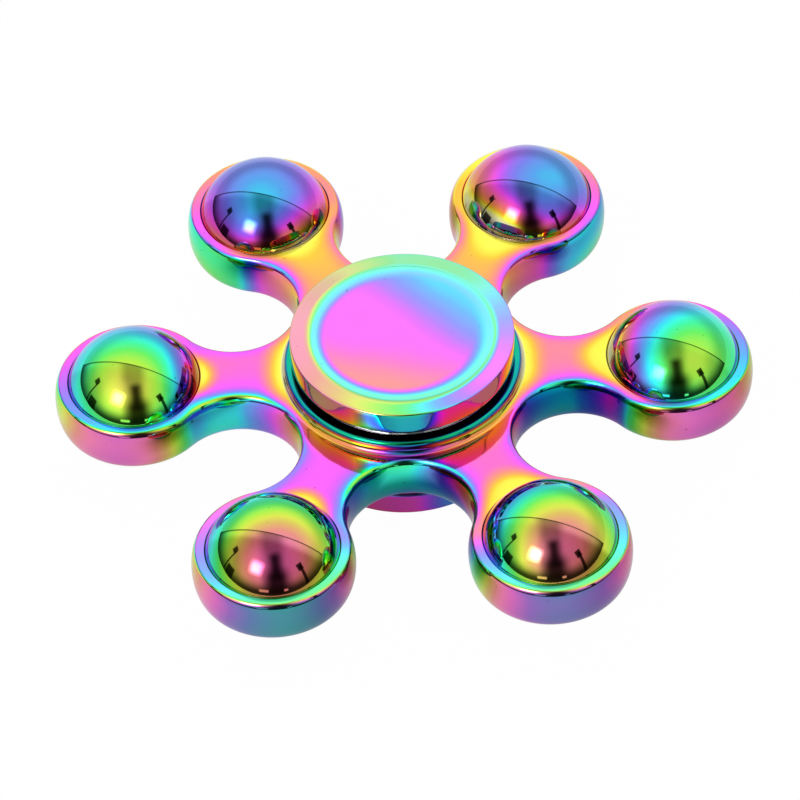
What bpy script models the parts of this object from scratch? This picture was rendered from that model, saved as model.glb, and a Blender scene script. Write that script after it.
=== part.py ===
"""Six-armed fidget spinner: a plated zinc frame with six captive steel balls, turning on a 608 bearing
that two screwed-together thumb caps clamp by its inner ring.

The spin axis is +Z through the origin, the first arm points along +X, and z = 0 is the mid-plane.
Sizes are design sizes in millimetres times MM, so every value here is in metres.
"""

import math

import bmesh
import bpy
from mathutils import Matrix, Vector

MM = 0.001
MERGE = 0.001 * MM

# Frame: arms, pods and the web between them
ARM_COUNT = 6
PITCH_RADIUS = 28.9 * MM  # axis to pod centre
POD_RADIUS = 8.6 * MM  # at the mid-plane, where the barrel-shaped edge is fullest
WEB_RADIUS = 14.3 * MM  # where the valley between two arms comes nearest to the axis
BODY_HALF = 2.6 * MM  # half the thickness of the arms
EDGE_BULGE = 0.75 * MM  # how far the edge swells beyond the two flat faces

# Weight balls and their spherical seats
WEIGHT_RADIUS = 7.5 * MM
SEAT_GAP = 0.13 * MM

# Collar around the bearing
COLLAR_RADIUS = 12.7 * MM
COLLAR_HALF = 4.0 * MM
COLLAR_LIP = 0.4 * MM  # round at the top of the collar
COLLAR_FILLET = 0.6 * MM  # hollow where the collar meets the arms
FOOT_SINK = 0.03 * MM  # the fillet's foot dips into the arms, so that the two solids cross cleanly

# 608 ball bearing: 22 outside, 8 bore, 7 wide, seven 5/32 inch balls
RING_OUTER = 11.0 * MM
RING_BORE = 4.0 * MM
RING_HALF = 3.5 * MM
RING_CHAMFER = 0.3 * MM
RACE_PITCH = 7.5 * MM
RACE_BALL_COUNT = 7
RACE_BALL_RADIUS = 1.9845 * MM
GROOVE_RADIUS = 2.04 * MM
OUTER_LAND = 8.75 * MM  # inner radius of the outer ring beside its groove
INNER_LAND = 6.05 * MM  # outer radius of the inner ring
SHIELD_SEAT = 9.8 * MM
SHIELD_SEAT_FLOOR = 2.6 * MM
PRESS_GAP = 0.1 * MM  # drawn gap between the outer ring and the frame's bore

# Shields and the riveted ribbon cage
SHIELD_OUTER = 9.7 * MM
SHIELD_INNER = 6.4 * MM
SHIELD_LOW = 2.72 * MM
SHIELD_HIGH = 3.02 * MM
RIBBON_THICKNESS = 0.3 * MM
RIBBON_INNER = 6.8 * MM
RIBBON_OUTER = 8.2 * MM
RIBBON_FLAT = 0.19 * MM  # height of the middle of the flats between the pockets
POCKET_RADIUS = 2.27 * MM  # of the middle of the ribbon around a ball
RIVET_SHANK = 0.32 * MM
RIVET_HOLE = 0.4 * MM
RIVET_HEAD = 0.55 * MM
RIVET_CROWN = 0.33 * MM  # flat top of the head
RIVET_HEAD_LOW = 0.37 * MM
RIVET_HEAD_HIGH = 0.6 * MM

# Thumb caps
CAP_RADIUS = 12.0 * MM
CAP_TOP = 7.65 * MM
CAP_UNDER = 4.95 * MM
CAP_EDGE = 0.2 * MM  # round along the rim
DISH_RADIUS = 10.05 * MM  # inner edge of the flat ring
DISH_BLEND = 1.8 * MM  # radius of the hollow that leads from that edge down to the floor
DISH_STEEP = 45.0  # slope of the hollow at the edge, in degrees
DISH_SLOPE = 3.2  # slope of the floor where the hollow meets it, in degrees
SHOULDER_RADIUS = 5.4 * MM
SHOULDER_FACE = 3.55 * MM  # just clear of the inner ring's face
SLEEVE_RADIUS = 3.95 * MM
SLEEVE_END = 0.1 * MM  # each sleeve stops this far from the mid-plane
THREAD_HOLE = 2.5 * MM
THREAD_HOLE_END = 5.0 * MM
STUD_RADIUS = 2.4 * MM
STUD_END = 4.6 * MM

# Fineness of the round shapes
FINE_STEPS = 48  # around the collar and the caps
RING_STEPS = 36
RIVET_STEPS = 10
POD_STEPS = 18
VALLEY_STEPS = 9
EDGE_RESOLUTION = 1  # of the plate's rounded edge
SEAT_STEPS = (28, 14)  # around and from pole to pole
WEIGHT_STEPS = (20, 10)
BEARING_BALL_STEPS = (12, 6)
GROOVE_STEPS = 6
POCKET_STEPS = 8
COLLAR_ROUND_STEPS = 3
CAP_EDGE_STEPS = 2
BOWL_STEPS = 2
BLEND_STEPS = 4
SHARP_ANGLE = 38.0  # edges bent by more than this, in degrees, stay crisp

# Surface roughness
POLISHED_FRAME = 0.06
POLISHED_BALL = 0.04
GROUND_STEEL = 0.22
LAPPED_STEEL = 0.1
PRESSED_STEEL = 0.3

FRAME_PINK = (0.80, 0.30, 0.78)
BALL_TEAL = (0.15, 0.70, 0.55)
CAP_CYAN = (0.30, 0.65, 0.85)
STEEL_GREY = (0.62, 0.63, 0.65)
CAGE_GREY = (0.50, 0.50, 0.52)


def clear_scene():
    for old in list(bpy.data.objects):
        bpy.data.objects.remove(old, do_unlink=True)


def new_collection(name):
    collection = bpy.data.collections.new(name)
    bpy.context.scene.collection.children.link(collection)
    return collection


def metal(name, colour, roughness):
    material = bpy.data.materials.new(name + "_metal")
    material.use_nodes = True
    shader = material.node_tree.nodes["Principled BSDF"]
    shader.inputs["Base Color"].default_value = (*colour, 1.0)
    shader.inputs["Metallic"].default_value = 1.0
    shader.inputs["Roughness"].default_value = roughness
    return material


def add_piece(name, mesh, group, colour, roughness, location=(0.0, 0.0, 0.0), turn=0.0):
    """One named sub-part with its own metal, under the empty of the group that it moves with."""
    piece = bpy.data.objects.new(name, mesh)
    piece.data.materials.append(metal(name, colour, roughness))
    piece.location = location
    piece.rotation_euler = (0.0, 0.0, turn)
    piece.parent = group
    spinner.objects.link(piece)
    return piece


def add_group(name):
    """An empty on the spin axis that carries the pieces which turn together."""
    group = bpy.data.objects.new(name, None)
    spinner.objects.link(group)
    return group


def add_tool(name, mesh):
    """A solid that only shapes other pieces."""
    tool = bpy.data.objects.new(name, mesh)
    tool.hide_render = True
    tool.display_type = "WIRE"
    tools.objects.link(tool)
    return tool


def mesh_from(name, build):
    """A smooth-shaded mesh that build(bm) fills."""
    bm = bmesh.new()
    build(bm)
    mesh = bpy.data.meshes.new(name)
    bm.to_mesh(mesh)
    bm.free()
    mesh.shade_smooth()
    mesh.set_sharp_from_angle(angle=math.radians(SHARP_ANGLE))
    return mesh


def ball_mesh(name, radius, steps):
    def build(bm):
        bmesh.ops.create_uvsphere(bm, u_segments=steps[0], v_segments=steps[1], radius=radius)

    return mesh_from(name, build)


def cylinder_mesh(name, radius, length, segments, centres=(Vector((0.0, 0.0, 0.0)),)):
    """Upright cylinders of one size about the given centres."""

    def build(bm):
        for centre in centres:
            bmesh.ops.create_cone(
                bm,
                cap_ends=True,
                segments=segments,
                radius1=radius,
                radius2=radius,
                depth=length,
                matrix=Matrix.Translation(centre),
            )

    return mesh_from(name, build)


def arc(centre, radius, start, end, steps):
    """Points (x, z) on an arc between two angles in degrees, both ends included."""
    points = []
    for i in range(steps + 1):
        angle = math.radians(start + (end - start) * i / steps)
        points.append((centre[0] + radius * math.cos(angle), centre[1] + radius * math.sin(angle)))
    return points


def flipped(points):
    """A profile seen upside down, in the order that keeps it running down its outer side."""
    return [(x, -z) for x, z in reversed(points)]


def profile_mesh(name, points, closed):
    """The half section of a turned piece, as edges in the XZ plane at +X."""

    def build(bm):
        verts = [bm.verts.new((x, 0.0, z)) for x, z in points]
        for first, second in zip(verts, verts[1:]):
            bm.edges.new((first, second))
        if closed:
            bm.edges.new((verts[-1], verts[0]))

    return mesh_from(name, build)


def turn_about_axis(piece, steps):
    screw = piece.modifiers.new("turned", "SCREW")
    screw.axis = "Z"
    screw.angle = 2.0 * math.pi
    screw.steps = steps
    screw.render_steps = steps
    screw.use_merge_vertices = True
    screw.merge_threshold = MERGE
    return piece


def around_axis(radius, count, index, offset=0.0):
    """The place and the angle of one of count stations on a circle about the spin axis."""
    angle = 2.0 * math.pi * (index + offset) / count
    return Vector((radius * math.cos(angle), radius * math.sin(angle), 0.0)), angle


def plate_outline():
    """The flat face's outline: a round pod at the end of each arm, joined by tangent valley arcs."""
    pod = POD_RADIUS - EDGE_BULGE
    web = WEB_RADIUS - EDGE_BULGE
    half_step = math.pi / ARM_COUNT
    reach = PITCH_RADIUS * math.cos(half_step)
    valley = (web**2 - pod**2 + PITCH_RADIUS**2 - 2.0 * reach * web) / (2.0 * (pod - web + reach))
    valley_centre = Vector((math.cos(half_step), math.sin(half_step))) * (web + valley)
    pod_centre = Vector((PITCH_RADIUS, 0.0))
    to_valley = valley_centre - pod_centre
    pod_half = math.atan2(to_valley.y, to_valley.x)
    valley_half = pod_half - half_step

    sector = []
    for i in range(POD_STEPS + 1):
        angle = pod_half * (2.0 * i / POD_STEPS - 1.0)
        sector.append(pod_centre + pod * Vector((math.cos(angle), math.sin(angle))))
    for i in range(1, VALLEY_STEPS):
        angle = half_step - math.pi + valley_half * (1.0 - 2.0 * i / VALLEY_STEPS)
        sector.append(valley_centre + valley * Vector((math.cos(angle), math.sin(angle))))

    outline = []
    for arm in range(ARM_COUNT):
        spin = Matrix.Rotation(2.0 * half_step * arm, 2)
        outline += [spin @ point for point in sector]
    return outline


def plate_mesh():
    """The arms and pods in one plate, whose edge is half an ellipse in section."""
    curve = bpy.data.curves.new("plate_outline", "CURVE")
    curve.dimensions = "2D"
    curve.fill_mode = "BOTH"
    curve.bevel_depth = EDGE_BULGE
    curve.bevel_resolution = EDGE_RESOLUTION
    outline = plate_outline()
    spline = curve.splines.new("POLY")
    spline.points.add(len(outline) - 1)
    for point, place in zip(spline.points, outline):
        point.co = (place.x, place.y, 0.0, 1.0)
    spline.use_cyclic_u = True

    guide = add_tool("plate_guide", curve)
    graph = bpy.context.evaluated_depsgraph_get()
    mesh = bpy.data.meshes.new_from_object(guide.evaluated_get(graph))
    bpy.data.objects.remove(guide)
    bm = bmesh.new()
    bm.from_mesh(mesh)
    bmesh.ops.remove_doubles(bm, verts=bm.verts, dist=MERGE)
    bmesh.ops.scale(bm, verts=bm.verts, vec=(1.0, 1.0, BODY_HALF / EDGE_BULGE))
    bm.to_mesh(mesh)
    bm.free()
    mesh.shade_smooth()
    mesh.set_sharp_from_angle(angle=math.radians(SHARP_ANGLE))
    return mesh


def collar_profile():
    """Half section of the solid hub: a lipped collar above and below the arms."""
    foot = (COLLAR_RADIUS + COLLAR_FILLET, BODY_HALF + COLLAR_FILLET - FOOT_SINK)
    lip = (COLLAR_RADIUS - COLLAR_LIP, COLLAR_HALF - COLLAR_LIP)
    upper = [(0.0, COLLAR_HALF)]
    upper += arc(lip, COLLAR_LIP, 90.0, 0.0, COLLAR_ROUND_STEPS)
    upper += arc(foot, COLLAR_FILLET, 180.0, 270.0, COLLAR_ROUND_STEPS)
    return upper + flipped(upper)


def cut_or_join(piece, tool, operation):
    boolean = piece.modifiers.new(tool.name, "BOOLEAN")
    boolean.operation = operation
    boolean.object = tool


def make_frame_body(rotor):
    """The cast frame: plate and collar in one, bored for the bearing, with a seat in each pod."""
    frame = add_piece("frame_body", plate_mesh(), rotor, FRAME_PINK, POLISHED_FRAME)
    hub = add_tool("hub_blank", profile_mesh("hub_blank", collar_profile(), closed=False))
    turn_about_axis(hub, FINE_STEPS)
    cut_or_join(frame, hub, "UNION")
    past_both_faces = 3.0 * COLLAR_HALF
    bore = cylinder_mesh("bore_cutter", RING_OUTER + PRESS_GAP, past_both_faces, FINE_STEPS)
    cut_or_join(frame, add_tool("bore_cutter", bore), "DIFFERENCE")
    seat = ball_mesh("seat_cutter", WEIGHT_RADIUS + SEAT_GAP, SEAT_STEPS)
    for arm in range(ARM_COUNT):
        cutter = add_tool("seat_cutter_%d" % (arm + 1), seat)
        cutter.location, cutter.rotation_euler.z = around_axis(PITCH_RADIUS, ARM_COUNT, arm)
        cut_or_join(frame, cutter, "DIFFERENCE")


def make_weight_balls(rotor):
    mesh = ball_mesh("weight_ball", WEIGHT_RADIUS, WEIGHT_STEPS)
    for arm in range(ARM_COUNT):
        place, angle = around_axis(PITCH_RADIUS, ARM_COUNT, arm)
        name = "weight_ball_%d" % (arm + 1)
        add_piece(name, mesh.copy(), rotor, BALL_TEAL, POLISHED_BALL, place, angle)


def dish_profile():
    """The thumb dish from its middle to the flat ring: a shallow bowl, then a steeper hollow."""
    slope = math.radians(DISH_SLOPE)
    steep = math.radians(DISH_STEEP)
    floor_edge = DISH_RADIUS - DISH_BLEND * (math.sin(steep) - math.sin(slope))
    floor_height = CAP_TOP - DISH_BLEND * (math.cos(slope) - math.cos(steep))
    bowl = floor_edge / math.sin(slope)
    bowl_centre = (0.0, floor_height + bowl * math.cos(slope))
    blend_centre = (
        floor_edge - DISH_BLEND * math.sin(slope),
        floor_height + DISH_BLEND * math.cos(slope),
    )
    floor = arc(bowl_centre, bowl, -90.0, DISH_SLOPE - 90.0, BOWL_STEPS)
    floor[0] = (0.0, floor[0][1])
    blend = arc(blend_centre, DISH_BLEND, DISH_SLOPE - 90.0, DISH_STEEP - 90.0, BLEND_STEPS)
    return floor + blend[1:]


def disc_profile():
    """The outside of a thumb cap from the middle of its dish to its underside."""
    edge = CAP_RADIUS - CAP_EDGE
    rim = arc((edge, CAP_TOP - CAP_EDGE), CAP_EDGE, 90.0, 0.0, CAP_EDGE_STEPS)
    rim += arc((edge, CAP_UNDER + CAP_EDGE), CAP_EDGE, 0.0, -90.0, CAP_EDGE_STEPS)
    return dish_profile() + rim


def neck_profile():
    """The shoulder that clamps the inner ring, and the sleeve inside the ring's bore."""
    return [
        (SHOULDER_RADIUS, CAP_UNDER),
        (SHOULDER_RADIUS, SHOULDER_FACE),
        (SLEEVE_RADIUS, SHOULDER_FACE),
        (SLEEVE_RADIUS, SLEEVE_END),
    ]


def make_top_cap(axle):
    """Thumb cap with a threaded hole up its sleeve."""
    hole = [(THREAD_HOLE, SLEEVE_END), (THREAD_HOLE, THREAD_HOLE_END), (0.0, THREAD_HOLE_END)]
    section = disc_profile() + neck_profile() + hole
    mesh = profile_mesh("top_cap", section, closed=False)
    turn_about_axis(add_piece("top_cap", mesh, axle, CAP_CYAN, POLISHED_FRAME), FINE_STEPS)


def make_bottom_cap(axle):
    """The same cap upside down, with a stud that screws into the top cap."""
    stud = [(STUD_RADIUS, SLEEVE_END), (STUD_RADIUS, -STUD_END), (0.0, -STUD_END)]
    section = flipped(disc_profile() + neck_profile() + stud)
    mesh = profile_mesh("bottom_cap", section, closed=False)
    turn_about_axis(add_piece("bottom_cap", mesh, axle, CAP_CYAN, POLISHED_FRAME), FINE_STEPS)


def outer_ring_profile():
    reach = math.degrees(math.acos((OUTER_LAND - RACE_PITCH) / GROOVE_RADIUS))
    corner = RING_OUTER - RING_CHAMFER
    outside = [(corner, RING_HALF), (RING_OUTER, RING_HALF - RING_CHAMFER)]
    seat = [(SHIELD_SEAT, RING_HALF), (SHIELD_SEAT, SHIELD_SEAT_FLOOR), (OUTER_LAND, SHIELD_SEAT_FLOOR)]
    groove = arc((RACE_PITCH, 0.0), GROOVE_RADIUS, -reach, reach, GROOVE_STEPS)
    return outside + flipped(outside) + [(x, -z) for x, z in seat] + groove + list(reversed(seat))


def inner_ring_profile():
    reach = math.degrees(math.acos((RACE_PITCH - INNER_LAND) / GROOVE_RADIUS))
    groove = arc((RACE_PITCH, 0.0), GROOVE_RADIUS, 180.0 - reach, 180.0 + reach, GROOVE_STEPS)
    outside = [(INNER_LAND, RING_HALF)] + groove + [(INNER_LAND, -RING_HALF)]
    bore = [(RING_BORE + RING_CHAMFER, -RING_HALF), (RING_BORE, RING_CHAMFER - RING_HALF)]
    return outside + bore + [(x, -z) for x, z in reversed(bore)]


def shield_profile():
    return [
        (SHIELD_OUTER, SHIELD_HIGH),
        (SHIELD_OUTER, SHIELD_LOW),
        (SHIELD_INNER, SHIELD_LOW),
        (SHIELD_INNER, SHIELD_HIGH),
    ]


def make_rings(rotor, axle):
    pieces = (
        ("bearing_outer_ring", outer_ring_profile(), rotor, GROUND_STEEL),
        ("upper_shield", shield_profile(), rotor, PRESSED_STEEL),
        ("lower_shield", flipped(shield_profile()), rotor, PRESSED_STEEL),
        ("bearing_inner_ring", inner_ring_profile(), axle, GROUND_STEEL),
    )
    for name, section, group, roughness in pieces:
        mesh = profile_mesh(name, section, closed=True)
        turn_about_axis(add_piece(name, mesh, group, STEEL_GREY, roughness), RING_STEPS)


def ribbon_path():
    """(angle, height) along the middle of the upper ribbon, once around the bearing."""
    flat_start = math.sqrt(POCKET_RADIUS**2 - RIBBON_FLAT**2) / RACE_PITCH
    low = math.degrees(math.asin(RIBBON_FLAT / POCKET_RADIUS))
    half_pitch = math.pi / RACE_BALL_COUNT
    path = []
    for pocket in range(RACE_BALL_COUNT):
        middle = 2.0 * half_pitch * pocket
        for x, z in arc((0.0, 0.0), POCKET_RADIUS, 180.0 - low, low, POCKET_STEPS):
            path.append((middle + max(-flat_start, min(flat_start, x / RACE_PITCH)), z))
        path.append((middle + half_pitch, RIBBON_FLAT))
    return path


def ribbon_mesh(name, side):
    """One pressed half of the cage as a thin strip; side is 1 above the mid-plane and -1 below."""

    def build(bm):
        rows = []
        for angle, height in ribbon_path():
            along = Vector((math.cos(angle), math.sin(angle), 0.0))
            lift = Vector((0.0, 0.0, side * height))
            rows.append([bm.verts.new(along * r + lift) for r in (RIBBON_INNER, RIBBON_OUTER)])
        for row, after in zip(rows, rows[1:] + rows[:1]):
            bm.faces.new((row[0], row[1], after[1], after[0]))

    return mesh_from(name, build)


def make_cage(cage):
    """Two ribbon halves, drilled on their flats and held by a rivet between each pair of balls."""
    between_balls = 0.5
    flats = [
        around_axis(RACE_PITCH, RACE_BALL_COUNT, i, between_balls)[0]
        for i in range(RACE_BALL_COUNT)
    ]
    through = 4.0 * RIVET_HEAD_HIGH
    drill = cylinder_mesh("rivet_drill", RIVET_HOLE, through, RIVET_STEPS, flats)
    drill_tool = add_tool("rivet_drill", drill)
    for name, side in (("cage_upper", 1.0), ("cage_lower", -1.0)):
        half = add_piece(name, ribbon_mesh(name, side), cage, CAGE_GREY, PRESSED_STEEL)
        shell = half.modifiers.new("thickness", "SOLIDIFY")
        shell.thickness = RIBBON_THICKNESS
        shell.offset = 0.0
        shell.use_even_offset = True
        cut_or_join(half, drill_tool, "DIFFERENCE")

    head = [
        (0.0, RIVET_HEAD_HIGH),
        (RIVET_CROWN, RIVET_HEAD_HIGH),
        (RIVET_HEAD, RIVET_HEAD_LOW),
        (RIVET_SHANK, RIVET_HEAD_LOW),
    ]
    for i, place in enumerate(flats):
        name = "cage_rivet_%d" % (i + 1)
        mesh = profile_mesh(name, head + flipped(head), closed=False)
        rivet = add_piece(name, mesh, cage, CAGE_GREY, PRESSED_STEEL, place)
        turn_about_axis(rivet, RIVET_STEPS)


def make_bearing_balls(cage):
    mesh = ball_mesh("bearing_ball", RACE_BALL_RADIUS, BEARING_BALL_STEPS)
    for i in range(RACE_BALL_COUNT):
        place, angle = around_axis(RACE_PITCH, RACE_BALL_COUNT, i)
        name = "bearing_ball_%d" % (i + 1)
        add_piece(name, mesh.copy(), cage, STEEL_GREY, LAPPED_STEEL, place, angle)


clear_scene()
spinner = new_collection("fidget_spinner")
tools = new_collection("shaping_tools")
axle_group = add_group("axle_group")
rotor_group = add_group("rotor_group")
cage_group = add_group("cage_group")

make_frame_body(rotor_group)
make_weight_balls(rotor_group)
make_top_cap(axle_group)
make_bottom_cap(axle_group)
make_rings(rotor_group, axle_group)
make_cage(cage_group)
make_bearing_balls(cage_group)
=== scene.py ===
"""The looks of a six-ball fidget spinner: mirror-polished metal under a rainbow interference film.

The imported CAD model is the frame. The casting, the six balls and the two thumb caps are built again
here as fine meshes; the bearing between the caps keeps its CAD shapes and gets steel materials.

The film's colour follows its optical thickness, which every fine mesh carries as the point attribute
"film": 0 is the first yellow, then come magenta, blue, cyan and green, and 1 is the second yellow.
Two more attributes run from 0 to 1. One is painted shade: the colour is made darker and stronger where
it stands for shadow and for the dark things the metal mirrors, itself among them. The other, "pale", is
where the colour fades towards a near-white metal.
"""

import math

import bmesh
import bpy
import numpy as np
from mathutils import Matrix, Vector


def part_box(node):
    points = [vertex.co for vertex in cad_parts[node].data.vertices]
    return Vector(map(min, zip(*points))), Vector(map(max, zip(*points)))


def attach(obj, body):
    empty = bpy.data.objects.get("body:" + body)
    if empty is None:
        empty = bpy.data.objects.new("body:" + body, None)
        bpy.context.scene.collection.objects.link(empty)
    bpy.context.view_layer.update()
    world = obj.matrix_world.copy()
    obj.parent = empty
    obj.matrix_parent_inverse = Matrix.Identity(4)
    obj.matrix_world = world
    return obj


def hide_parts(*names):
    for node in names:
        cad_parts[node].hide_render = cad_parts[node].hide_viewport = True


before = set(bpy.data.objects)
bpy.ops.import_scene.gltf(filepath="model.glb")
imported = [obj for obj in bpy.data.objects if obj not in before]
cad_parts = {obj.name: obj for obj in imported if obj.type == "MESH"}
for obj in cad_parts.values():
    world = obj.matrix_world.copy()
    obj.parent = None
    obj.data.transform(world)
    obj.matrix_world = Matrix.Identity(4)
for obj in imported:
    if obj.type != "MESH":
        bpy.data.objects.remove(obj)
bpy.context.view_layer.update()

MM = 0.001
WELD = 0.0005 * MM

# Sizes read from the CAD frame
COLLAR_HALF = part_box("frame_body")[1].z
BALL_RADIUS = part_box("weight_ball_1")[1].z
PITCH = sum(corner.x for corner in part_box("weight_ball_1")) / 2.0
POD_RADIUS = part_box("frame_body")[1].x - PITCH
CAP_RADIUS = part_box("top_cap")[1].x
CAP_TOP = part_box("top_cap")[1].z
BEARING_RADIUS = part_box("bearing_outer_ring")[1].x
ARM_COUNT = sum(1 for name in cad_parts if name.startswith("weight_ball"))
HALF_STEP = math.pi / ARM_COUNT

# Casting
BODY_HALF = 0.65 * COLLAR_HALF
EDGE_BULGE = 0.75 * MM
WEB_RADIUS = 14.3 * MM  # from the spin axis to the bottom of a valley between two arms
SEAT_RADIUS = BALL_RADIUS + 0.02 * MM
SEAT_LIP = 0.12 * MM
COLLAR_RADIUS = 12.7 * MM
COLLAR_LIP = 0.4 * MM
COLLAR_FILLET = 0.6 * MM
FOOT_RADIUS = COLLAR_RADIUS + COLLAR_FILLET
BORE_RADIUS = BEARING_RADIUS + 0.1 * MM
BORE_CHAMFER = 0.25 * MM

# Thumb caps: a shallow bowl whose shoulder steepens towards a small lip, slopes in degrees
CAP_UNDER = 4.95 * MM
CAP_EDGE = 0.18 * MM
DISH_RADIUS = 10.05 * MM
DISH_BLEND = 3.0 * MM
DISH_SLOPE = 3.2
DISH_STEEP = 20.0
DISH_LIP = 0.08 * MM
SHOULDER_RADIUS = 5.4 * MM
SHOULDER_FACE = 3.55 * MM
SLEEVE_RADIUS = 3.95 * MM
SLEEVE_END = 0.1 * MM
THREAD_RADIUS = 2.5 * MM
THREAD_END = 5.0 * MM
STUD_RADIUS = 2.4 * MM
STUD_END = 4.6 * MM

# Fineness of the meshes
SHARP_ANGLE = math.radians(40.0)
BALL_CUTS = 39
CAP_TURN_STEPS = 240
CAP_PROFILE_STEP = 0.45 * MM
CAP_EDGE_STEPS = 6
DISH_FLOOR_STEPS = 28
DISH_BLEND_STEPS = 12
DISH_LIP_STEPS = 3
FACE_ROWS = 18
BISECTOR_STEPS = 2
VALLEY_STEPS = 40
POD_STEPS = 52
AXIS_STEPS = 28
EDGE_STEPS = 16
LIP_STEPS = 5
SEAT_STEPS = 12
COLLAR_STEPS = 8
COLLAR_PROFILE_STEP = 0.4 * MM

# Camera: in front of the spinner and above it, looking along +Y through a long lens
CAMERA_ELEVATION = math.radians(46.61)
CAMERA_ROLL = math.radians(-2.69)
CAMERA_DISTANCE = 572.6 * MM
CAMERA_LENS = 239.7
CAMERA_SENSOR = 36.0
CAMERA_CLIP = (0.01, 10.0)
CAMERA_AIM = (-0.433 * MM, -1.876 * MM)  # what it looks at, rightwards and upwards of the centre

# The white table: its half size, where it ends in front, and how much of it glows, to the camera
# and to everything else
TABLE_HALF = 3.0
TABLE_FRONT = -150.0 * MM
TABLE_BURNT = 0.985
TABLE_GLOW = 0.30

# The studio is a picture all around that the metal mirrors: a white tent about an axis, with its
# edge and the seam along it as cosines to the axis, and rectangles in its opening, each given as a
# direction, half width, half height and softness
UP = Vector((0.0, 0.0, 1.0))
RIGHT = Vector((1.0, 0.0, 0.0))
TENT_AXIS = Vector((0.285, 0.925, 0.251)).normalized()
TENT_EDGE = (0.378, 0.392)
SEAM_EDGE = (0.345, 0.365)
SOFT_BOX_AT = (-0.453, -0.662, 0.599)
SOFT_BOX = (SOFT_BOX_AT, 0.15, 0.15, 0.11)
SOFT_BOX_GLOW = (SOFT_BOX_AT, 0.40, 0.40, 0.38)
DARK_CARDS = (
    ((0.07, -0.72, 0.66), 0.16, 0.40, 0.14),
    ((0.10, -0.96, 0.26), 0.34, 0.40, 0.24),
    ((0.687, -0.564, 0.461), 0.085, 0.10, 0.015),
    ((0.74, -0.59, 0.16), 0.045, 0.36, 0.015),
    ((-0.849, 0.003, 0.531), 0.07, 0.08, 0.02),
    ((-0.93, -0.07, 0.24), 0.022, 0.36, 0.01),
    ((-0.965, -0.257, 0.046), 0.13, 0.20, 0.02),
)
WHITE_CARDS = (
    ((-0.267, -0.96, 0.05), 0.12, 0.035, 0.02),
    ((0.30, -0.95, 0.04), 0.05, 0.03, 0.02),
)
TENT_LIGHT = (0.72, 1.12)  # from low down to overhead
ROOM_LIGHT = (0.48, 1.02)  # from straight ahead to the sides
FAR_SIDE_SHARE = 0.65
DIM_LIGHT = 0.06
SEAM_SHARE = 0.85
SOFT_BOX_LIGHT = 9.0
GLOW_LIGHT = 0.55
DARK_LIGHT = 0.01
DARK_SHARE = 0.94
WHITE_LIGHT = 1.3

# Fine marks in the materials: noise scales per metre, and how strong each mark is
CLOUD_SCALE = 160.0
CLOUD_DRIFT = 0.05
RIPPLE_SCALE = 380.0
RIPPLE_HEIGHT = 0.05 * MM
HAZE_SCALE = 420.0
HAZE_SHARE = 0.4
SPECK_SCALE = 2200.0
SPECK_EDGE = (0.855, 0.875)
SPECK_SHADE = 0.40
TURNING_SCALE = 9000.0
TURNING_HEIGHT = 0.01 * MM
TURNING_TONE = 0.86
WEAR_SCALE = 300.0
WEAR_ROUGHNESS = 0.08
TABLE_SCALE = 40.0
TABLE_TONE = (0.86, 0.90)

# How much thicker the film looks square-on than at a glancing view, and the squared cosine at which
# it looks as thick as it is: the camera's view of a level face
FILM_ANGLE_SHIFT = 0.42
BALL_ANGLE_SHIFT = 0.62
LEVEL_FACE_VIEW = math.sin(CAMERA_ELEVATION) ** 2

# The film's thickness at the main places, from where it drifts with position and facing
FACE_FILM = 0.33
EDGE_FILM = 0.17
RIM_FILM = 0.489
POD_WALL_FILM = 1.20
WEB_WALL_FILM = 0.66
BACK_VALLEY_FILM = 0.25
COLLAR_FILM = -0.03
COLLAR_LIP_FILM = 0.70
BALL_FILM = 0.671
DISH_FILM = 0.33
DISH_SHOULDER_FILM = 0.67
CAP_RING_FILM = 0.78
CAP_WALL_FILM = 0.68
LOWER_CAP_FILM = 0.32

# How dark the painted shade makes the metal, where it stands for shadow and for the metal mirroring
# itself, and the near-white metal that the colour fades to where it is pale
PAINTED_SHADE_STRENGTH = 0.42
PALE_METAL = (0.93, 0.92, 0.95, 1.0)
WHITE = (1.0, 1.0, 1.0, 1.0)

# Film colours by thickness, as screen colours
FILM_COLOURS = (
    (-0.20, (250, 246, 226)),
    (-0.08, (252, 250, 190)),
    (0.00, (252, 246, 84)),
    (0.05, (253, 200, 66)),
    (0.10, (252, 168, 104)),
    (0.15, (252, 148, 134)),
    (0.20, (253, 134, 164)),
    (0.26, (254, 114, 202)),
    (0.32, (254, 100, 240)),
    (0.37, (224, 100, 254)),
    (0.43, (176, 118, 250)),
    (0.50, (132, 142, 246)),
    (0.58, (96, 178, 246)),
    (0.64, (64, 224, 248)),
    (0.69, (64, 250, 224)),
    (0.75, (70, 246, 164)),
    (0.82, (104, 240, 104)),
    (0.90, (176, 240, 78)),
    (0.97, (220, 232, 84)),
    (1.04, (224, 190, 104)),
    (1.12, (232, 148, 136)),
    (1.20, (244, 132, 178)),
    (1.30, (226, 112, 196)),
    (1.42, (156, 110, 196)),
    (1.54, (104, 128, 182)),
    (1.66, (66, 158, 160)),
    (1.80, (90, 180, 140)),
)


def smooth(low, high, value):
    """Smoothstep, for numbers and arrays; low may be above high."""
    share = np.clip((value - low) / (high - low), 0.0, 1.0)
    return share * share * (3.0 - 2.0 * share)


def mixed(first, second, share):
    """From the first value at share 0 to the second at share 1."""
    return first + (second - first) * share


def arc(centre, radius, start, end, steps):
    """Points (r, z) on an arc between two angles in degrees, both ends included."""
    angles = np.radians(np.linspace(start, end, steps + 1))
    return [(centre[0] + radius * math.cos(a), centre[1] + radius * math.sin(a)) for a in angles]


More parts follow.
